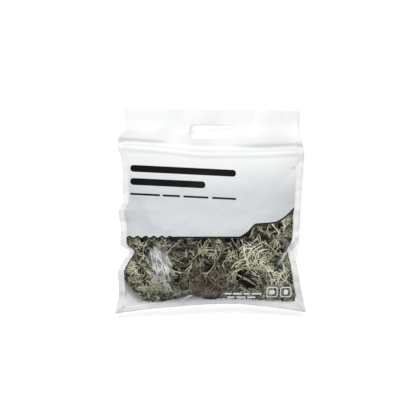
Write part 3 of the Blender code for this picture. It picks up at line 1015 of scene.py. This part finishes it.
def bed_of(node_name):
    """(points, faces) of the dark bed, drawn in from the seals and the foot."""
    points, _, faces = copy_of(node_name, 2, 0.3)
    x, y = points[:, 0], points[:, 1]
    rough = 0.0025 * noise_at(x, y, 0.007, 9.0)
    y = np.maximum(y, FILL_FOOT(x) + BED_IN_FOOT + rough)
    x = np.clip(x, left_x(y) + SEAL + BED_IN_SIDE + rough, right_x(y) - SEAL - BED_IN_SIDE + rough)
    room = read_map(room_map, x, y)
    top = read_map(front_map, x, y) - np.minimum(0.0105, 0.50 * room) - 0.0016 * (1 + noise_at(x, y, 0.006, 6.0))
    low = read_map(back_map, x, y) + 0.0006
    return np.stack([x, y, np.maximum(np.minimum(points[:, 2], top), low)], axis=1), faces


# %% Join a tuft
def joined(name, parts):
    """One object made of (points, faces, tints, material number) parts."""
    points, part_faces, tints, numbers = zip(*parts)
    starts = np.cumsum([0, *(len(p) for p in points)]).tolist()
    faces = [tuple(start + i for i in face) for start, some in zip(starts, part_faces) for face in some]
    mesh = bpy.data.meshes.new(name)
    mesh.from_pydata(np.concatenate(points), [], faces)
    mesh.polygons.foreach_set("material_index", np.repeat(numbers, [len(some) for some in part_faces]))
    mesh.validate()
    tint = mesh.color_attributes.new("tint", "FLOAT_COLOR", "POINT")
    tint.data.foreach_set("color", np.concatenate(tints).astype(np.float32).ravel())
    mesh.shade_smooth()
    obj = bpy.data.objects.new(name, mesh)
    bpy.context.scene.collection.objects.link(obj)
    return obj


# %% [markdown]
# A strap is pale grey-green above, cream at its tips and nearly black beneath, and its sides are
# painted dark as the shade between straps. The tint attribute carries how pale and how brown each
# frond is, how far each point faces away from the top and how deep the frond lies, which is painted
# as shade, and fine noise mottles it.


# %% Lichen and bed materials
def lichen_shader(tree, place):
    r, mix = on(tree, ramp, blended)
    tint = put(tree, "Attribute", attribute_name="tint")
    parts = put(tree, "SeparateColor", {"Color": tint.outputs["Color"]})
    pale, brown, under = parts.outputs["Red"], parts.outputs["Green"], parts.outputs["Blue"]
    deep = tint.outputs["Alpha"]
    mottle = speckle(tree, place, 420.0, 3.0)
    shade = calc(tree, "ADD", pale, r(mottle, 0.3, 0.7, -0.16, 0.16))
    green = mix(r(shade, 0.10, 0.62), (0.110, 0.118, 0.068), (0.480, 0.485, 0.328))
    green = mix(r(shade, 0.62, 1.0), green, (0.920, 0.900, 0.680))
    bark = mix(mottle, (0.130, 0.085, 0.050), (0.340, 0.260, 0.170))
    top = mix(r(brown, 0.18, 0.70, 0.0, 0.85), green, bark)
    # Painted shade on the sides of each strap, together with its own near-black underside.
    top = mix(r(under, 0.10, 0.75, 0.0, 0.93), top, (0.022, 0.019, 0.018))
    # Painted shade: the deeper a frond lies under the film, the nearer black it is.
    colour = mix(r(deep, 0.22, 0.56, 0.0, 0.94), top, (0.018, 0.015, 0.016))
    bump = bumped(tree, mottle, 0.35, 0.0004)
    return surface(tree, Base_Color=colour, Roughness=0.82, Specular_IOR_Level=0.25, Normal=bump)


def bed_shader(tree, place):
    # The bed's near black is painted shade between the fronds, over dead lichen and the dust of bark.
    dust = speckle(tree, place, 260.0, 5.0)
    colour = blended(tree, ramp(tree, dust, 0.4, 0.7), (0.007, 0.006, 0.008), (0.040, 0.032, 0.024))
    return surface(tree, Base_Color=colour, Roughness=0.95, Normal=bumped(tree, dust, 0.8, 0.002))


# The bed's material is painted shade over dead lichen and the dust of bark.
lichen_strap = material("lichen strap", lichen_shader)
dark_bed = material("dead lichen, bark dust and painted shade", bed_shader)

# %% Make the tufts
total = 0
for number, tuft_name in enumerate(TUFTS):
    parts = [(p, f, t, 0) for owner, p, f, t in fronds if owner == number]
    bed_points, bed_faces = bed_of(tuft_name)
    parts.append((bed_points, bed_faces, np.zeros((len(bed_points), 4)), 1))
    piece = joined(tuft_name + "_fronds", parts)
    piece.data.materials.append(lichen_strap)
    piece.data.materials.append(dark_bed)
    triangles = sum(len(p.vertices) - 2 for p in piece.data.polygons)
    total += triangles
    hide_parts(tuft_name)
    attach(piece, "root")
    print(piece.name, len(parts) - 1, "fronds", triangles, "triangles")
print("lichen:", total, "triangles")

# %% [markdown]
# ## Twigs and bark crumbs
#
# Bits of the tree come along with the lichen: thin dead twigs, one pale sliver of split wood, and
# crumbs of bark, most of them in one brown patch. A twig's solid already runs the right way, so a
# finer copy of it is roughened into bark. The grain is noise drawn out along the twig. A crumb is a
# small ball, flattened and dented, with only twenty faces, because there are many.


# %% Wood and bark materials
def make_wood(name, dark, pale, heading):
    def shader(tree, place):
        inputs = {"Vector": place, "Rotation": (0, 0, heading), "Scale": (0.016, 0.0016, 0.0016)}
        along = put(tree, "Mapping", inputs, vector_type="TEXTURE").outputs[0]
        grain = speckle(tree, along, 1.0, 4.0)
        colour = blended(tree, ramp(tree, grain, 0.36, 0.64), dark, pale)
        bump = bumped(tree, grain, 0.6, 0.0006)
        return surface(tree, Base_Color=colour, Roughness=0.8, Specular_IOR_Level=0.25, Normal=bump)

    return material(name, shader)


# %% Twigs
def roughened(points, faces, height, size, seed):
    """Points moved out and in along their own normals by noise."""
    mesh = bpy.data.meshes.new("shape for normals")
    mesh.from_pydata([tuple(p) for p in points], [], faces)
    normals = np.array([v.normal for v in mesh.vertices])
    bpy.data.meshes.remove(mesh)
    bumps = [noise.noise(Vector((p[0] / size, p[1] / size, p[2] / size + seed))) for p in points]
    return points + normals * height * np.array(bumps)[:, None]


for number, twig_name in enumerate(sorted(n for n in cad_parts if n.startswith("twig_"))):
    points, _, faces = copy_of(twig_name, 3, 0.7)
    middle = points.mean(axis=0)
    way = np.linalg.svd(points - middle, full_matrices=False)[2][0]
    heading = math.atan2(way[1], way[0])
    if number == 0:
        offset = points - middle
        run = offset @ way
        aside = np.array([-way[1], way[0], 0])
        share = np.abs(run) / np.abs(run).max()
        thin = 0.55 + 0.35 * (1 - share**2)
        points = middle + run[:, None] * way + (offset @ aside)[:, None] * aside * thin[:, None]
        points[:, 2] += (offset[:, 2] - run * way[2]) * 0.45
        points = roughened(points, faces, 0.0005, 0.004, 3.0)
        wood = make_wood("split wood", (0.330, 0.245, 0.140), (0.620, 0.520, 0.350), heading)
    else:
        points = roughened(points, faces, 0.0008, 0.0026, 7.0 + number)
        wood = make_wood(f"bark of {twig_name}", (0.085, 0.058, 0.038), (0.330, 0.255, 0.175), heading)
    film = read_map(front_map, points[:, 0], points[:, 1])
    points[:, 2] += min(float((film - points[:, 2]).min()) - 0.0012, 0.0030)
    twig = joined(twig_name + "_wood", [(points, faces, np.zeros((len(points), 4)), 0)])
    twig.data.materials.append(wood)
    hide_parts(twig_name)
    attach(twig, "root")
    print(twig.name, round(float(np.ptp((points - middle) @ way)) * 1000), "mm long, depth under the film",
          round(float((film - points[:, 2]).min()) * 1000, 1), "mm")


# %% Bark crumbs
def make_crumb(seed):
    """A flake of bark, one unit long."""
    crumb_rng = np.random.default_rng(seed)
    obj = added(bpy.ops.mesh.primitive_ico_sphere_add, subdivisions=1, radius=0.5, location=(0, 0, 0))
    size = (1, crumb_rng.uniform(0.45, 0.85), crumb_rng.uniform(0.22, 0.4))
    edit_all(
        partial(bpy.ops.transform.resize, value=size, center_override=(0, 0, 0)),
        partial(bpy.ops.transform.vertex_random, offset=0.16, seed=seed),
    )
    return as_arrays(obj)


def likely_crumb(x, y, room):
    """Where crumbs lie: mostly in the brown patch."""
    return np.where((room > 0.008) & (above_print_edge(x, y) < 0), 0.10 + 0.90 * brown_patch(x, y), 0.0)


crumbs, crumb_parts = [make_crumb(40 + i) for i in range(8)], []
for x, y in scatter(150, likely_crumb):
    shape, _, faces = crumbs[rng.integers(len(crumbs))]
    length = rng.uniform(0.0020, 0.0052)
    turn, tilt = rng.uniform(0, 2 * math.pi), rng.normal(0, 0.35)
    local = shape * length
    local[:, 2] += local[:, 0] * tilt
    px = x + local[:, 0] * math.cos(turn) - local[:, 1] * math.sin(turn)
    py = y + local[:, 0] * math.sin(turn) + local[:, 1] * math.cos(turn)
    film = read_map(front_map, px, py)
    pz = np.minimum(film - rng.uniform(0.0012, 0.0050) + local[:, 2], film - 0.0004)
    shade = np.tile([rng.uniform(0, 1), 0, 0, 0], (len(px), 1))
    crumb_parts.append((np.stack([px, py, pz], axis=1), faces, shade, 0))
crumb_piece = joined("bark_crumbs", crumb_parts)
crumb_bark = make_wood("bark of the crumbs", (0.110, 0.070, 0.042), (0.420, 0.310, 0.200), 0.6)
crumb_piece.data.materials.append(crumb_bark)
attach(crumb_piece, "root")
print("crumbs:", len(crumb_parts))
